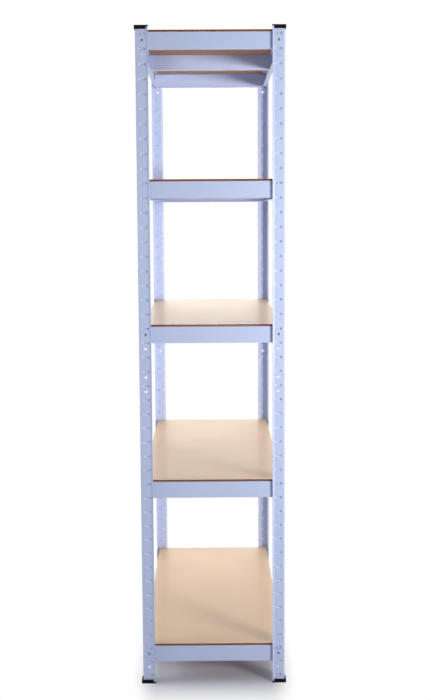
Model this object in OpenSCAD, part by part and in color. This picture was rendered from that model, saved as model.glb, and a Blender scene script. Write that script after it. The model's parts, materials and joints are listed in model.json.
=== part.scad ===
// Boltless steel shelving: four slotted corner posts in two halves, five shelf
// levels of hooked beams with loose fibre boards, plastic caps and feet.
// X runs along the long side, Y along the short side, Z up from the floor.

/* [Overall] */
// Length over the lips of the posts
unit_l = 900; // [600:10:1200]
// Depth over the lips of the posts
unit_w = 400; // [300:10:600]
// Slots, counted up from 0, that carry the lower shelves (the top shelf takes the last slot)
lower_levels = [2, 14, 25, 35]; // [1:1:38]

/* [Posts] */
// Thickness of the post sheet
post_t = 1.2; // [0.8:0.1:2]
// Width of a post flange, from its outer corner to the end of its lip
post_flange = 33.5; // [32.5:0.5:45]
// Width of the lip along the free edge
lip_w = 5; // [3:0.5:5.5]
// Height that the lip is bent outwards from the flange
lip_rise = 2.5; // [1.5:0.5:5]
// Outside radius of the corner bend
post_bend_r = 2.4; // [2.2:0.1:4]
// Spacing of the slots
slot_pitch = 39; // [36:0.5:50]
// Number of slots in each half of a post
half_slots = 23; // [21:1:30]
// Width of a slot
slot_w = 18; // [16:0.5:19]
// Height of a slot
slot_h = 6; // [4:0.5:7]
// Length of the sloped ends of the strip that is pressed in behind a slot
strip_run = 3.5; // [2:0.5:4]
// Distance from the outer corner to the middle of the slots and holes
slot_mid = 17.5; // [16.5:0.5:18]
// Diameter of the round holes near both ends of each half
hole_d = 7; // [5:0.5:10]
// Height of the holes above the middle between two slots
hole_rise = 3.5; // [0:0.5:5]

/* [Splices] */
// Thickness of the splice sheet
splice_t = 1.2; // [0.8:0.1:2]
// Clearance between a splice and the strips and tongues at the slots
splice_gap = 1; // [0.5:0.1:2]

/* [Beams] */
// Thickness of the beam sheet
beam_t = 1; // [0.8:0.1:1.5]
// Height of a beam
beam_h = 45; // [35:1:60]
// Width of the ledges turned inwards at the top and bottom of a beam
ledge_w = 13; // [8:1:20]
// Clearance between a beam's face and the pressed strips of the posts
beam_gap = 0.15; // [0.1:0.05:1]
// Height of the long beams' tops above the middle of their slots
beam_rise = 7; // [6.5:0.5:12]
// Drop of the end beams' tops below the tops of the long beams
end_drop = 1.5; // [0:0.5:3]
// Distance from the outer corner of a post to the end of a beam
beam_start = 8; // [6:0.5:11]
// Distance from the outer corner of a post to the end of a beam's ledges
ledge_start = 28; // [25:1:32]

/* [Hooks] */
// Length of a tongue below its slot
hook_drop = 3; // [1:0.5:6]
// Size of the clipped corners of a tongue
hook_clip = 3; // [1:0.5:3.5]
// Clearance between a tongue and the sheet in front of it and behind it
hook_gap = 0.5; // [0.1:0.1:0.8]
// Clearance between a tongue's sides and the sloped ends of the strip
hook_side = 0.75; // [0.3:0.05:2]

/* [Centre bars] */
// Width of a centre bar
bar_w = 20; // [12:1:40]
// Thickness of the centre bar sheet
bar_t = 1; // [0.8:0.1:1.5]
// Clearance between a centre bar and the long beams
bar_gap = 0.5; // [0.2:0.1:1.5]

/* [Boards] */
// Thickness of a shelf board
board_t = 4; // [3:0.5:12]
// Inset of a board's edges behind the faces of the beams
board_inset = 0.5; // [0.3:0.1:3]
// Size of the clipped corners of a board
board_clip = 3; // [1:0.5:8]

/* [Feet and caps] */
// Thickness of a foot's sole
sole_t = 3; // [2:0.5:8]
// Reach of a foot past the lips of its post
foot_over = 1.8; // [0.5:0.1:4]
// Height of a foot's outer walls, sole included
foot_h = 9.5; // [8:0.5:16]
// Thickness of a cap's top plate
cap_t = 3; // [2:0.5:6]
// Reach of a cap past the lips of its post
cap_over = 0.3; // [0.2:0.1:3]
// Height of a cap's outer walls, plate included
cap_h = 10; // [8:0.5:14]
// Thickness of the ribs that grip the post from inside
rib_t = 2; // [1.5:0.1:2]
// Height of a foot's ribs above its sole
rib_h = 7; // [4:0.5:12]
// Clearance between a cap's ribs and the top beams
rib_gap = 2; // [0.5:0.5:3]
// Reach of a sole or plate past the ends of the flanges
sole_reach = 1; // [0:0.5:3]
// Clearance between the plastic and the post sheet
plastic_fit = 0.1; // [0.05:0.05:0.3]

/* [Hidden] */
$fn = 48;
bend_steps = 6;
eps = 1;
steel = [0.72, 0.76, 0.88];
board_face = [0.87, 0.78, 0.68];
plastic = [0.07, 0.07, 0.08];

// The lip's bend, and the width of the flat of a flange outside and inside
lip_angle = atan2(lip_rise, lip_w);
flat_out = post_flange - lip_w - post_t * sin(lip_angle);
flat_in = flat_out + post_t * tan(lip_angle / 2);

// Length and depth over the flat outer faces of the posts
post_l = unit_l - 2 * lip_rise;
post_w = unit_w - 2 * lip_rise;

// Heights
half_len = half_slots * slot_pitch;
post_foot = sole_t;
post_joint = post_foot + half_len;
post_top = post_joint + half_len;
levels = concat(lower_levels, [2 * half_slots - 1]);
function slot_z(k) = post_foot + (k + 0.5) * slot_pitch;
function long_top(level) = slot_z(levels[level]) + beam_rise;
function end_top(level) = long_top(level) - end_drop;

// A tongue, measured from the middle of its slot
hook_w = slot_w - 2 * (strip_run + hook_side);
hook_top = slot_h / 2 + beam_t;
hook_tip = -slot_h / 2 - hook_drop;

// Depths measured inwards from the outer faces of the posts
tongue_d = post_t + hook_gap;
strip_d = tongue_d + beam_t + hook_gap;
strip_back = strip_d + post_t;
face_d = strip_back + beam_gap;
board_d = face_d + board_inset;

// Distances along a flange from the outer corner
slot_a = slot_mid - slot_w / 2;
slot_b = slot_mid + slot_w / 2;
strip_bend = post_t * (norm([strip_run, strip_d]) - strip_run) / strip_d;

// Reach of a splice to either side of the joint, just short of the second slot's tongue
splice_reach = 1.5 * slot_pitch + hook_tip - splice_gap;

// Heights of the round holes above the lower end of a half post
hole_steps = [1, 2, half_slots - 2, half_slots - 1];
function hole_z(step) = step * slot_pitch + hole_rise;

corner_names = ["front_left", "front_right", "back_left", "back_right"];
corner_x = [-1, 1, -1, 1];
corner_y = [-1, -1, 1, 1];
corners = [0 : 3];
shelves = [0 : len(levels) - 1];

function shelf_name(kind, level) = str(kind, "_", level + 1);
function corner_name(kind, corner) = str(kind, "_", corner_names[corner]);

// Places a shape drawn with the outer corner of a post at its origin
module at_corner(corner) {
    translate([corner_x[corner] * post_l / 2, corner_y[corner] * post_w / 2, 0])
        mirror([corner_x[corner] > 0 ? 1 : 0, 0, 0])
            mirror([0, corner_y[corner] > 0 ? 1 : 0, 0])
                children();
}

// Draws a shape for the flange along X and again for the flange along Y
module both_flanges() {
    children();
    mirror([1, -1, 0])
        children();
}

// Points round the bend of the corner, from the flange along Y to the flange along X
function bend_arc(r) = [
    for (i = [0 : bend_steps])
        let (q = 180 + 90 * i / bend_steps)
            [post_bend_r + r * cos(q), post_bend_r + r * sin(q)]
];

// The lip and free edge of the flange along X, from its outer to its inner face
lip_edge = [
    [flat_out, 0],
    [flat_out + lip_w, -lip_rise],
    [post_flange, post_t * cos(lip_angle) - lip_rise],
    [flat_in, post_t]
];

function reversed(points) = [for (i = [len(points) - 1 : -1 : 0]) points[i]];
function swapped(points) = [for (p = points) [p[1], p[0]]];

// A post in plan: two lipped flanges and the bend between them
module post_plan() {
    polygon(concat(
        bend_arc(post_bend_r),
        lip_edge,
        reversed(bend_arc(post_bend_r - post_t)),
        reversed(swapped(lip_edge))
    ));
}

// A slot through the flange along X
module slot_cut(z) {
    translate([slot_a, -eps, z - slot_h / 2])
        cube([slot_w, post_t + 2 * eps, slot_h]);
}

// The strip of sheet pressed inwards behind a slot, joined to the flange at its sloped ends
module strip(z) {
    translate([0, 0, z - slot_h / 2])
        linear_extrude(slot_h)
            polygon([
                [slot_a, 0],
                [slot_a + strip_run, strip_d],
                [slot_b - strip_run, strip_d],
                [slot_b, 0],
                [slot_b + strip_bend, post_t],
                [slot_b - strip_run + strip_bend, strip_back],
                [slot_a + strip_run - strip_bend, strip_back],
                [slot_a - strip_bend, post_t]
            ]);
}

// A round hole through the flange along X
module hole_cut(z) {
    translate([slot_mid, -eps, z])
        rotate([-90, 0, 0])
            cylinder(d = hole_d, h = post_t + splice_t + 2 * eps);
}

// Half a post, standing on the height z0
module post_half(corner, z0) {
    slot_heights = [for (k = [0 : half_slots - 1]) (k + 0.5) * slot_pitch];
    color(steel)
        at_corner(corner)
            translate([0, 0, z0]) {
                difference() {
                    linear_extrude(half_len)
                        post_plan();
                    both_flanges() {
                        for (z = slot_heights)
                            slot_cut(z);
                        for (step = hole_steps)
                            hole_cut(hole_z(step));
                    }
                }
                both_flanges()
                    for (z = slot_heights)
                        strip(z);
            }
}

module lower_post(corner) {
    post_half(corner, post_foot);
}

module upper_post(corner) {
    post_half(corner, post_joint);
}

// An angle inside the post that bridges the joint, notched round the pressed strips and their tongues
module splice(corner) {
    inner = post_t + splice_t;
    notch_a = slot_a - strip_bend - splice_gap;
    notch_h = hook_top - hook_tip + 2 * splice_gap;
    color(steel)
        at_corner(corner)
            translate([0, 0, post_joint])
                difference() {
                    translate([0, 0, -splice_reach])
                        linear_extrude(2 * splice_reach)
                            polygon([
                                [post_bend_r, post_t],
                                [flat_in, post_t],
                                [flat_in, inner],
                                [inner, inner],
                                [inner, flat_in],
                                [post_t, flat_in],
                                [post_t, post_bend_r]
                            ]);
                    both_flanges() {
                        for (side = [-1, 1])
                            translate([notch_a, 0, side * slot_pitch / 2 + hook_tip - splice_gap])
                                cube([post_flange, inner + eps, notch_h]);
                        hole_cut(hole_z(1));
                        hole_cut(hole_z(half_slots - 1) - half_len);
                    }
                }
}

// Plan of the ribs inside a post's corner
module rib_plan() {
    start = post_t + plastic_fit;
    both_flanges()
        translate([post_bend_r, start])
            square([slot_b - post_bend_r, rib_t]);
}

// Outer walls on both outer faces of a post, up to the bends of the lips
module wall_plan(over) {
    out = -lip_rise - over;
    both_flanges()
        translate([out, out])
            square([flat_out - plastic_fit - out, -plastic_fit - out]);
}

// A foot: a sole with walls outside the post and ribs inside it
module foot(corner) {
    out = -lip_rise - foot_over;
    end = post_flange + sole_reach;
    leg = strip_back + sole_reach;
    color(plastic)
        at_corner(corner) {
            linear_extrude(sole_t)
                polygon([[out, out], [end, out], [end, leg], [leg, end], [out, end]]);
            linear_extrude(foot_h)
                wall_plan(foot_over);
            linear_extrude(sole_t + rib_h)
                rib_plan();
        }
}

// A cap: a plate over the post with walls outside and ribs inside
module cap(corner) {
    out = -lip_rise - cap_over;
    end = post_flange + sole_reach;
    top = post_top + cap_t;
    rib_bottom = long_top(len(levels) - 1) + rib_gap;
    color(plastic)
        at_corner(corner) {
            translate([0, 0, post_top])
                linear_extrude(cap_t)
                    both_flanges()
                        translate([out, out])
                            square([end - out, strip_back - out]);
            translate([0, 0, top - cap_h])
                linear_extrude(cap_h)
                    wall_plan(cap_over);
            translate([0, 0, rib_bottom])
                linear_extrude(top - rib_bottom)
                    rib_plan();
        }
}

// The hook of a beam: a bridge that rests on the strip and a tongue down in front of it
module hook(a, z) {
    half_w = hook_w / 2;
    translate([a - half_w, tongue_d, z + slot_h / 2])
        cube([hook_w, face_d + beam_t - tongue_d, beam_t]);
    translate([a, tongue_d + beam_t, z])
        rotate([90, 0, 0])
            linear_extrude(beam_t)
                polygon([
                    [-half_w, hook_top],
                    [-half_w, hook_tip + hook_clip],
                    [hook_clip - half_w, hook_tip],
                    [half_w - hook_clip, hook_tip],
                    [half_w, hook_tip + hook_clip],
                    [half_w, hook_top]
                ]);
}

// A beam along X, facing -Y, between posts whose outer faces lie at Y = 0
module beam(span, top, z) {
    half_face = span / 2 - beam_start;
    half_ledge = span / 2 - ledge_start;
    bottom = top - beam_h;
    color(steel) {
        translate([-half_face, face_d, bottom])
            cube([2 * half_face, beam_t, beam_h]);
        for (ledge_z = [bottom, top - beam_t])
            translate([-half_ledge, face_d, ledge_z])
                cube([2 * half_ledge, ledge_w, beam_t]);
        for (side = [-1, 1])
            hook(side * (span / 2 - slot_mid), z);
    }
}

module long_beam(level) {
    translate([0, -post_w / 2, 0])
        beam(post_l, long_top(level), slot_z(levels[level]));
}

module end_beam(level) {
    translate([0, -post_l / 2, 0])
        beam(post_w, end_top(level), slot_z(levels[level]));
}

module front_beam(level) {
    long_beam(level);
}

module back_beam(level) {
    rotate([0, 0, 180])
        long_beam(level);
}

module right_beam(level) {
    rotate([0, 0, 90])
        end_beam(level);
}

module left_beam(level) {
    rotate([0, 0, -90])
        end_beam(level);
}

// A channel under the middle of a board, standing on the long beams' lower ledges
module centre_bar(level) {
    half_bar = post_w / 2 - face_d - beam_t - bar_gap;
    half_top = post_w / 2 - face_d - ledge_w - bar_gap;
    top = long_top(level);
    bottom = top - beam_h + beam_t;
    color(steel)
        difference() {
            translate([-bar_w / 2, -half_bar, bottom])
                cube([bar_w, 2 * half_bar, top - bottom]);
            translate([-bar_w / 2 - eps, -half_bar - eps, bottom + bar_t])
                cube([bar_w - bar_t + eps, 2 * (half_bar + eps), top - bottom - 2 * bar_t]);
            for (side = [0, 1])
                mirror([0, side, 0])
                    translate([-bar_w / 2 - eps, half_top, top - beam_t - bar_gap])
                        cube([bar_w + 2 * eps, half_bar, beam_t + bar_gap + eps]);
        }
}

// A loose board lying on the long beams and the centre bar
module shelf_board(level) {
    half_l = post_l / 2 - board_d;
    half_w = post_w / 2 - board_d;
    color(board_face)
        translate([0, 0, long_top(level)])
            linear_extrude(board_t)
                polygon([
                    [half_l, half_w - board_clip],
                    [half_l - board_clip, half_w],
                    [board_clip - half_l, half_w],
                    [-half_l, half_w - board_clip],
                    [-half_l, board_clip - half_w],
                    [board_clip - half_l, -half_w],
                    [half_l - board_clip, -half_w],
                    [half_l, board_clip - half_w]
                ]);
}

for (c = corners) {
    foot(c);
    lower_post(c);
    splice(c);
    upper_post(c);
    cap(c);
}

for (i = shelves) {
    front_beam(i);
    back_beam(i);
    left_beam(i);
    right_beam(i);
    centre_bar(i);
    shelf_board(i);
}
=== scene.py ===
"""Looks for the boltless shelving: painted steel, fibre boards and black plastic on the CAD nodes."""

import json
from math import radians

import bpy
from mathutils import Matrix, Vector

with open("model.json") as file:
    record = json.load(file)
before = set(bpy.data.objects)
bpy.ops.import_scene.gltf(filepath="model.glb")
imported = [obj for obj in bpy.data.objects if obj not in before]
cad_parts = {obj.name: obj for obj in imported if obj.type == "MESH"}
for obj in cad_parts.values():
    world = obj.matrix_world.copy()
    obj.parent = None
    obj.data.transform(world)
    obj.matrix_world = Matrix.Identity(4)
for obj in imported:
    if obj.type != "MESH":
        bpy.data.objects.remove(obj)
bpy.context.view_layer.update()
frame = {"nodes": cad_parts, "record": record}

MM = 0.001
WHITE = (1.0, 1.0, 1.0)
ZERO = (0.0, 0.0, 0.0)
EVEN = (1.0, 1.0, 1.0)
QUARTER_TURN = 90.0

# The photograph's frame and the camera fitted to the posts, slots and board edges in it; angles in degrees.
IMAGE_H = 700
FOCAL_PX = 1091.6
HORIZON_SHIFT_PX = 15.6
CAMERA_AT = (3.3845, -0.0036, 1.304)
CAMERA_YAW = 0.26
CAMERA_PITCH = 6.26
CAMERA_ROLL = -0.33
SENSOR_H = 36.0

# Light: a softbox to the right of the camera, a lit backdrop behind the unit with a panel above it, paler
# panels to the sides and over the top board, and an even fill. Spreads are in degrees and powers in watts.
OPEN_SPREAD = 180.0
KEY_AT = (2.65, 2.45, 1.2)
KEY_AIM = (0.10, 0.90, 1.2)
KEY_SIZE = (1.2, 0.65)
KEY_SPREAD = 70.0
KEY_POWER = 24.0
KEY_COLOUR = (1.0, 0.99, 0.97)
SIDE_OUT = 3.1
SIDE_UP = 1.5
SIDE_AIM = (0.0, 0.0, 0.8)
SIDE_SIZE = (2.4, 1.6)
RIGHT_POWER = 10.0
LEFT_POWER = 56.0
BACK_AT = (-3.0, 0.0, 1.15)
BACK_AIM = (0.0, 0.0, 0.8)
BACK_SIZE = (4.0, 2.2)
BACK_POWER = 48.0
HIGH_AT = (-2.2, 0.0, 2.2)
HIGH_AIM = (-0.2, 0.0, 0.8)
HIGH_SIZE = (2.2, 1.4)
HIGH_SPREAD = 120.0
HIGH_POWER = 11.5
TOP_AT = (0.0, 0.0, 2.5)
TOP_AIM = (0.0, 0.0, 1.8)
TOP_SIZE = (1.1, 0.6)
TOP_SPREAD = 60.0
TOP_POWER = 1.2
FILL_STRENGTH = 0.22

# Floor: diffuse in a box under the unit, fading to plain white further out.
FLOOR_SIZE = 60.0
FLOOR_TONE = (0.73, 0.745, 0.83)
FLOOR_ROUGH = 0.9
FLOOR_CENTRE = (-0.02, 0.0, 0.0)
FLOOR_KEPT = (0.43, 0.15, 0.0)
FLOOR_RUN = (2.0, 5.0, 0.0)
FLOOR_FADE = 0.45

# Edges: the CAD faces are joined, then edges sharper than an angle are rounded, by a width per material.
WELD = 0.01 * MM
SHARP_ANGLE = 35.0
ROUND_STEPS = 2
STEEL_ROUNDING = 0.25 * MM
BOARD_ROUNDING = 0.3 * MM
PLASTIC_ROUNDING = 0.6 * MM

# Noise: the part of its range that most of its values fall in.
NOISE_LOW = 0.3
NOISE_HIGH = 0.7

# Powder coat: linear colours, the sizes of its patches in metres, and the skin's bumps.
STEEL = (0.53, 0.605, 0.84)
STEEL_DEEP = (0.51, 0.585, 0.82)
STEEL_CLOUD = 0.11
STEEL_SHEEN = 0.02
STEEL_ROUGH = (0.48, 0.58)
PEEL_SIZE = 1.6 * MM
PEEL_DEPTH = 0.02 * MM
PEEL_STRENGTH = 0.6
GRAIN_SIZE = 0.35 * MM
GRAIN_DEPTH = 0.004 * MM
GRAIN_STRENGTH = 0.5

# Fibre board: linear colours of the face, cut edge and underside, and the sizes of what shows in them.
BOARD_TOP = (0.81, 0.592, 0.398)
BOARD_FLECK = (0.77, 0.562, 0.376)
FLECK_SIZE = 3.0 * MM
FLECK_STRETCH = (0.35, 1.0, 1.0)
BOARD_CLOUD = 0.12
BOARD_CLOUD_SHARE = 0.2
BOARD_EDGE = (0.30, 0.085, 0.014)
BOARD_EDGE_DARK = (0.17, 0.045, 0.008)
LAYER_SIZE = 0.9 * MM
LAYER_STRETCH = (0.1, 0.1, 1.0)
BOARD_BACK = (0.55, 0.33, 0.23)
BOARD_BACK_DARK = (0.44, 0.255, 0.175)
FIBRE_SIZE = 1.6 * MM
# The upward share of a surface's normal over which the edge's look turns into the face's.
FACE_FROM = 0.55
FACE_TO = 0.75
BOARD_SHEEN = 0.05
BOARD_ROUGH = (0.41, 0.47)
BOARD_RAW_ROUGH = 0.8
BOARD_SPECULAR = 0.08
BOARD_COAT = 0.055
BOARD_COAT_ROUGH = 0.04
BOARD_SKIN = 0.9 * MM
BOARD_SKIN_DEPTH = 0.006 * MM
BOARD_SKIN_STRENGTH = 0.3

# Moulded plastic: linear colours, where it is rubbed, and its grain.
PLASTIC = (0.004, 0.004, 0.0046)
PLASTIC_WORN = (0.008, 0.008, 0.009)
RUB_SIZE = 7.0 * MM
RUB_FROM = 0.45
RUB_TO = 0.75
PLASTIC_SHEEN = 3.0 * MM
PLASTIC_ROUGH = (0.55, 0.7)
PLASTIC_SPECULAR = 0.06
PLASTIC_GRAIN = 0.5 * MM
PLASTIC_GRAIN_DEPTH = 0.03 * MM
PLASTIC_GRAIN_STRENGTH = 0.7


class Shader:
    """A material's node tree with short calls for its nodes and links."""

    def __init__(self, name):
        self.material = bpy.data.materials.new(name)
        self.material.use_nodes = True
        self.tree = self.material.node_tree
        self.bsdf = self.tree.nodes["Principled BSDF"]

    def node(self, kind, **settings):
        made = self.tree.nodes.new("ShaderNode" + kind)
        for key, value in settings.items():
            setattr(made, key, value)
        return made

    def link(self, out, into):
        self.tree.links.new(out, into)

    def coords(self, scale):
        """Places in the unit's own frame, in metres, multiplied by the scale."""
        place = self.node("TexCoord").outputs["Object"]
        mapping = self.node("Mapping")
        mapping.inputs["Scale"].default_value = scale
        self.link(place, mapping.inputs["Vector"])
        return mapping.outputs["Vector"]

    def noise(self, size, detail=2.0, rough=0.5, scale=EVEN):
        """Noise with features of about the given size in metres, longer where the scale is under 1."""
        made = self.node("TexNoise")
        made.inputs["Scale"].default_value = 1.0 / size
        made.inputs["Detail"].default_value = detail
        made.inputs["Roughness"].default_value = rough
        self.link(self.coords(scale), made.inputs["Vector"])
        return made.outputs["Fac"]

    def spread(self, value, low, high, start=NOISE_LOW, end=NOISE_HIGH):
        """Maps a value from the range start to end, a noise's usual one, to the range low to high."""
        made = self.node("MapRange")
        made.inputs["From Min"].default_value = start
        made.inputs["From Max"].default_value = end
        made.inputs["To Min"].default_value = low
        made.inputs["To Max"].default_value = high
        self.link(value, made.inputs["Value"])
        return made.outputs["Result"]

    def mix(self, factor, a, b):
        """Mixes two colours, each a plain colour or another node's output."""
        made = self.node("Mix", data_type="RGBA")
        self.link(factor, made.inputs["Factor"])
        sockets = [s for s in made.inputs if s.type == "RGBA"]
        for socket, colour in zip(sockets, (a, b)):
            if isinstance(colour, tuple):
                socket.default_value = (*colour, 1.0)
            else:
                self.link(colour, socket)
        return next(s for s in made.outputs if s.type == "RGBA")

    def bump(self, height, depth, strength, under=None):
        """Raises the surface by the height times the depth, on top of another bump if one is given."""
        made = self.node("Bump")
        made.inputs["Strength"].default_value = strength
        made.inputs["Distance"].default_value = depth
        self.link(height, made.inputs["Height"])
        if under is not None:
            self.link(under, made.inputs["Normal"])
        return made.outputs["Normal"]


def painted_steel():
    """Satin powder coat: an even pale blue-grey with a fine orange-peel skin."""
    s = Shader("painted_steel")
    tone = s.spread(s.noise(STEEL_CLOUD, detail=3.0), 0.0, 1.0)
    s.link(s.mix(tone, STEEL, STEEL_DEEP), s.bsdf.inputs["Base Color"])
    gloss = s.spread(s.noise(STEEL_SHEEN, detail=4.0), *STEEL_ROUGH)
    s.link(gloss, s.bsdf.inputs["Roughness"])
    peel = s.bump(s.noise(PEEL_SIZE, detail=1.0), PEEL_DEPTH, PEEL_STRENGTH)
    grain = s.bump(s.noise(GRAIN_SIZE, detail=0.0), GRAIN_DEPTH, GRAIN_STRENGTH, under=peel)
    s.link(grain, s.bsdf.inputs["Normal"])
    return s.material


def fibreboard():
    """Fibre board: a smooth beige face, dark brown cut edges and a plain brown underside."""
    s = Shader("fibreboard")
    up = s.node("SeparateXYZ")
    s.link(s.node("NewGeometry").outputs["Normal"], up.inputs["Vector"])
    is_top = s.spread(up.outputs["Z"], 0.0, 1.0, start=FACE_FROM, end=FACE_TO)
    is_back = s.spread(up.outputs["Z"], 1.0, 0.0, start=-FACE_TO, end=-FACE_FROM)

    fleck = s.spread(s.noise(FLECK_SIZE, detail=5.0, rough=0.6, scale=FLECK_STRETCH), 0.0, 1.0)
    cloud = s.spread(s.noise(BOARD_CLOUD), 0.0, BOARD_CLOUD_SHARE)
    face = s.mix(fleck, BOARD_TOP, BOARD_FLECK)
    face = s.mix(cloud, face, BOARD_FLECK)
    layers = s.spread(s.noise(LAYER_SIZE, detail=3.0, scale=LAYER_STRETCH), 0.0, 1.0)
    edge = s.mix(layers, BOARD_EDGE, BOARD_EDGE_DARK)
    fibres = s.spread(s.noise(FIBRE_SIZE, detail=5.0, rough=0.65), 0.0, 1.0)
    back = s.mix(fibres, BOARD_BACK, BOARD_BACK_DARK)
    s.link(s.mix(is_top, s.mix(is_back, edge, back), face), s.bsdf.inputs["Base Color"])

    gloss = s.spread(s.noise(BOARD_SHEEN), *BOARD_ROUGH)
    dull = s.node("Mix", data_type="FLOAT")
    s.link(is_top, dull.inputs["Factor"])
    dull.inputs["A"].default_value = BOARD_RAW_ROUGH
    s.link(gloss, dull.inputs["B"])
    s.link(dull.outputs["Result"], s.bsdf.inputs["Roughness"])
    s.bsdf.inputs["Specular IOR Level"].default_value = BOARD_SPECULAR
    s.bsdf.inputs["Coat Weight"].default_value = BOARD_COAT
    s.bsdf.inputs["Coat Roughness"].default_value = BOARD_COAT_ROUGH
    skin = s.bump(s.noise(BOARD_SKIN, rough=0.6), BOARD_SKIN_DEPTH, BOARD_SKIN_STRENGTH)
    s.link(skin, s.bsdf.inputs["Normal"])
    return s.material


def black_plastic():
    """Moulded plastic: near black with a fine matt grain, a little paler where it is rubbed."""
    s = Shader("black_plastic")
    rubbed = s.spread(s.noise(RUB_SIZE, detail=4.0), 0.0, 1.0, start=RUB_FROM, end=RUB_TO)
    s.link(s.mix(rubbed, PLASTIC, PLASTIC_WORN), s.bsdf.inputs["Base Color"])
    gloss = s.spread(s.noise(PLASTIC_SHEEN, detail=3.0), *PLASTIC_ROUGH)
    s.link(gloss, s.bsdf.inputs["Roughness"])
    s.bsdf.inputs["Specular IOR Level"].default_value = PLASTIC_SPECULAR
    grain = s.bump(s.noise(PLASTIC_GRAIN), PLASTIC_GRAIN_DEPTH, PLASTIC_GRAIN_STRENGTH)
    s.link(grain, s.bsdf.inputs["Normal"])
    return s.material


FINISHES = {
    "painted_steel": (painted_steel(), STEEL_ROUNDING),
    "fibreboard": (fibreboard(), BOARD_ROUNDING),
    "black_plastic": (black_plastic(), PLASTIC_ROUNDING),
}


def dress(node, slot):
    """Gives a CAD node its material and softly rounded edges."""
    material, rounding = FINISHES[slot]
    obj = frame["nodes"][node]
    obj.data.materials.clear()
    obj.data.materials.append(material)
    weld = obj.modifiers.new("joined faces", "WELD")
    weld.merge_threshold = WELD
    bevel = obj.modifiers.new("edges", "BEVEL")
    bevel.width = rounding
    bevel.segments = ROUND_STEPS
    bevel.limit_method = "ANGLE"
    bevel.angle_limit = radians(SHARP_ANGLE)


for subpart in frame["record"]["subparts"]:
    dress(subpart["node"], subpart["material_slot"])


def seen_rays(tree):
    """1 for rays that show the backdrop itself: straight from the camera, in gloss or through glass."""
    path = tree.nodes.new("ShaderNodeLightPath")
    seen = path.outputs["Is Camera Ray"]
    for kind in ("Is Glossy Ray", "Is Transmission Ray"):
        either = tree.nodes.new("ShaderNodeMath")
        either.operation = "MAXIMUM"
        tree.links.new(seen, either.inputs[0])
        tree.links.new(path.outputs[kind], either.inputs[1])
        seen = either.outputs[0]
    return seen


def make_floor():
    """A pale floor that keeps the unit's shadow and turns plain white away from it."""
    bpy.ops.mesh.primitive_plane_add(size=FLOOR_SIZE)
    floor = bpy.context.object
    floor.name = "floor"
    s = Shader("floor")
    s.bsdf.inputs["Base Color"].default_value = (*FLOOR_TONE, 1.0)
    s.bsdf.inputs["Roughness"].default_value = FLOOR_ROUGH
    white = s.node("Emission")
    white.inputs["Strength"].default_value = 1.0

    # How far a place lies outside the kept box, with each direction run at its own rate.
    place = s.node("TexCoord").outputs["Object"]
    steps = (
        ("SUBTRACT", FLOOR_CENTRE),
        ("ABSOLUTE", None),
        ("SUBTRACT", FLOOR_KEPT),
        ("MAXIMUM", ZERO),
        ("MULTIPLY", FLOOR_RUN),
    )
    for step, amount in steps:
        made = s.node("VectorMath", operation=step)
        s.link(place, made.inputs[0])
        if amount is not None:
            made.inputs[1].default_value = amount
        place = made.outputs["Vector"]
    away = s.node("VectorMath", operation="LENGTH")
    s.link(place, away.inputs[0])
    fade = s.node("MapRange", interpolation_type="SMOOTHSTEP")
    fade.inputs["From Max"].default_value = FLOOR_FADE
    s.link(away.outputs["Value"], fade.inputs["Value"])

    shown = s.node("Math", operation="MULTIPLY")
    s.link(fade.outputs["Result"], shown.inputs[0])
    s.link(seen_rays(s.tree), shown.inputs[1])
    mixed = s.node("MixShader")
    s.link(shown.outputs[0], mixed.inputs[0])
    s.link(s.bsdf.outputs[0], mixed.inputs[1])
    s.link(white.outputs[0], mixed.inputs[2])
    s.link(mixed.outputs[0], s.tree.nodes["Material Output"].inputs["Surface"])
    floor.data.materials.append(s.material)


def make_world():
    """White where it is seen, an even fill light elsewhere."""
    world = bpy.data.worlds.new("studio")
    bpy.context.scene.world = world
    world.use_nodes = True
    tree = world.node_tree
    back = tree.nodes["Background"]
    back.inputs["Color"].default_value = (*WHITE, 1.0)
    strength = tree.nodes.new("ShaderNodeMapRange")
    strength.inputs["To Min"].default_value = FILL_STRENGTH
    strength.inputs["To Max"].default_value = 1.0
    tree.links.new(seen_rays(tree), strength.inputs["Value"])
    tree.links.new(strength.outputs["Result"], back.inputs["Strength"])


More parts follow.
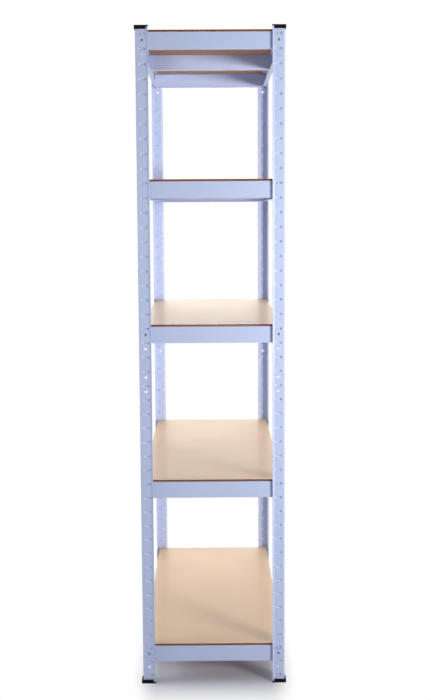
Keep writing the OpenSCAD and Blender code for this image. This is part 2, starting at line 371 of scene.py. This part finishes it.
def area_light(name, at, aim, size, power, colour=WHITE, spread=OPEN_SPREAD):
    """A rectangular panel that points at a place and is not seen by the camera."""
    data = bpy.data.lights.new(name, "AREA")
    data.shape = "RECTANGLE"
    data.size, data.size_y = size
    data.energy = power
    data.color = colour
    data.spread = radians(spread)
    lamp = bpy.data.objects.new(name, data)
    lamp.location = at
    lamp.rotation_euler = (Vector(aim) - Vector(at)).to_track_quat("-Z", "Y").to_euler()
    lamp.visible_camera = False
    bpy.context.scene.collection.objects.link(lamp)


def make_camera():
    """A new camera looks straight down: a quarter turn levels it and another makes it look along -X."""
    data = bpy.data.cameras.new("camera")
    data.sensor_fit = "VERTICAL"
    data.sensor_height = SENSOR_H
    data.lens = FOCAL_PX / IMAGE_H * SENSOR_H
    data.shift_y = -HORIZON_SHIFT_PX / IMAGE_H
    camera = bpy.data.objects.new("camera", data)
    turn = Matrix.Rotation(radians(QUARTER_TURN - CAMERA_YAW), 4, "Z")
    tilt = Matrix.Rotation(radians(QUARTER_TURN - CAMERA_PITCH), 4, "X")
    roll = Matrix.Rotation(radians(CAMERA_ROLL), 4, "Z")
    camera.matrix_world = Matrix.Translation(CAMERA_AT) @ turn @ tilt @ roll
    bpy.context.scene.collection.objects.link(camera)
    bpy.context.scene.camera = camera


make_floor()
make_world()
area_light("key", KEY_AT, KEY_AIM, KEY_SIZE, KEY_POWER, KEY_COLOUR, KEY_SPREAD)
area_light("right", (0.0, SIDE_OUT, SIDE_UP), SIDE_AIM, SIDE_SIZE, RIGHT_POWER)
area_light("left", (0.0, -SIDE_OUT, SIDE_UP), SIDE_AIM, SIDE_SIZE, LEFT_POWER)
area_light("backdrop", BACK_AT, BACK_AIM, BACK_SIZE, BACK_POWER)
area_light("high", HIGH_AT, HIGH_AIM, HIGH_SIZE, HIGH_POWER, spread=HIGH_SPREAD)
area_light("top", TOP_AT, TOP_AIM, TOP_SIZE, TOP_POWER, spread=TOP_SPREAD)
make_camera()
bpy.context.scene.view_settings.view_transform = "Standard"
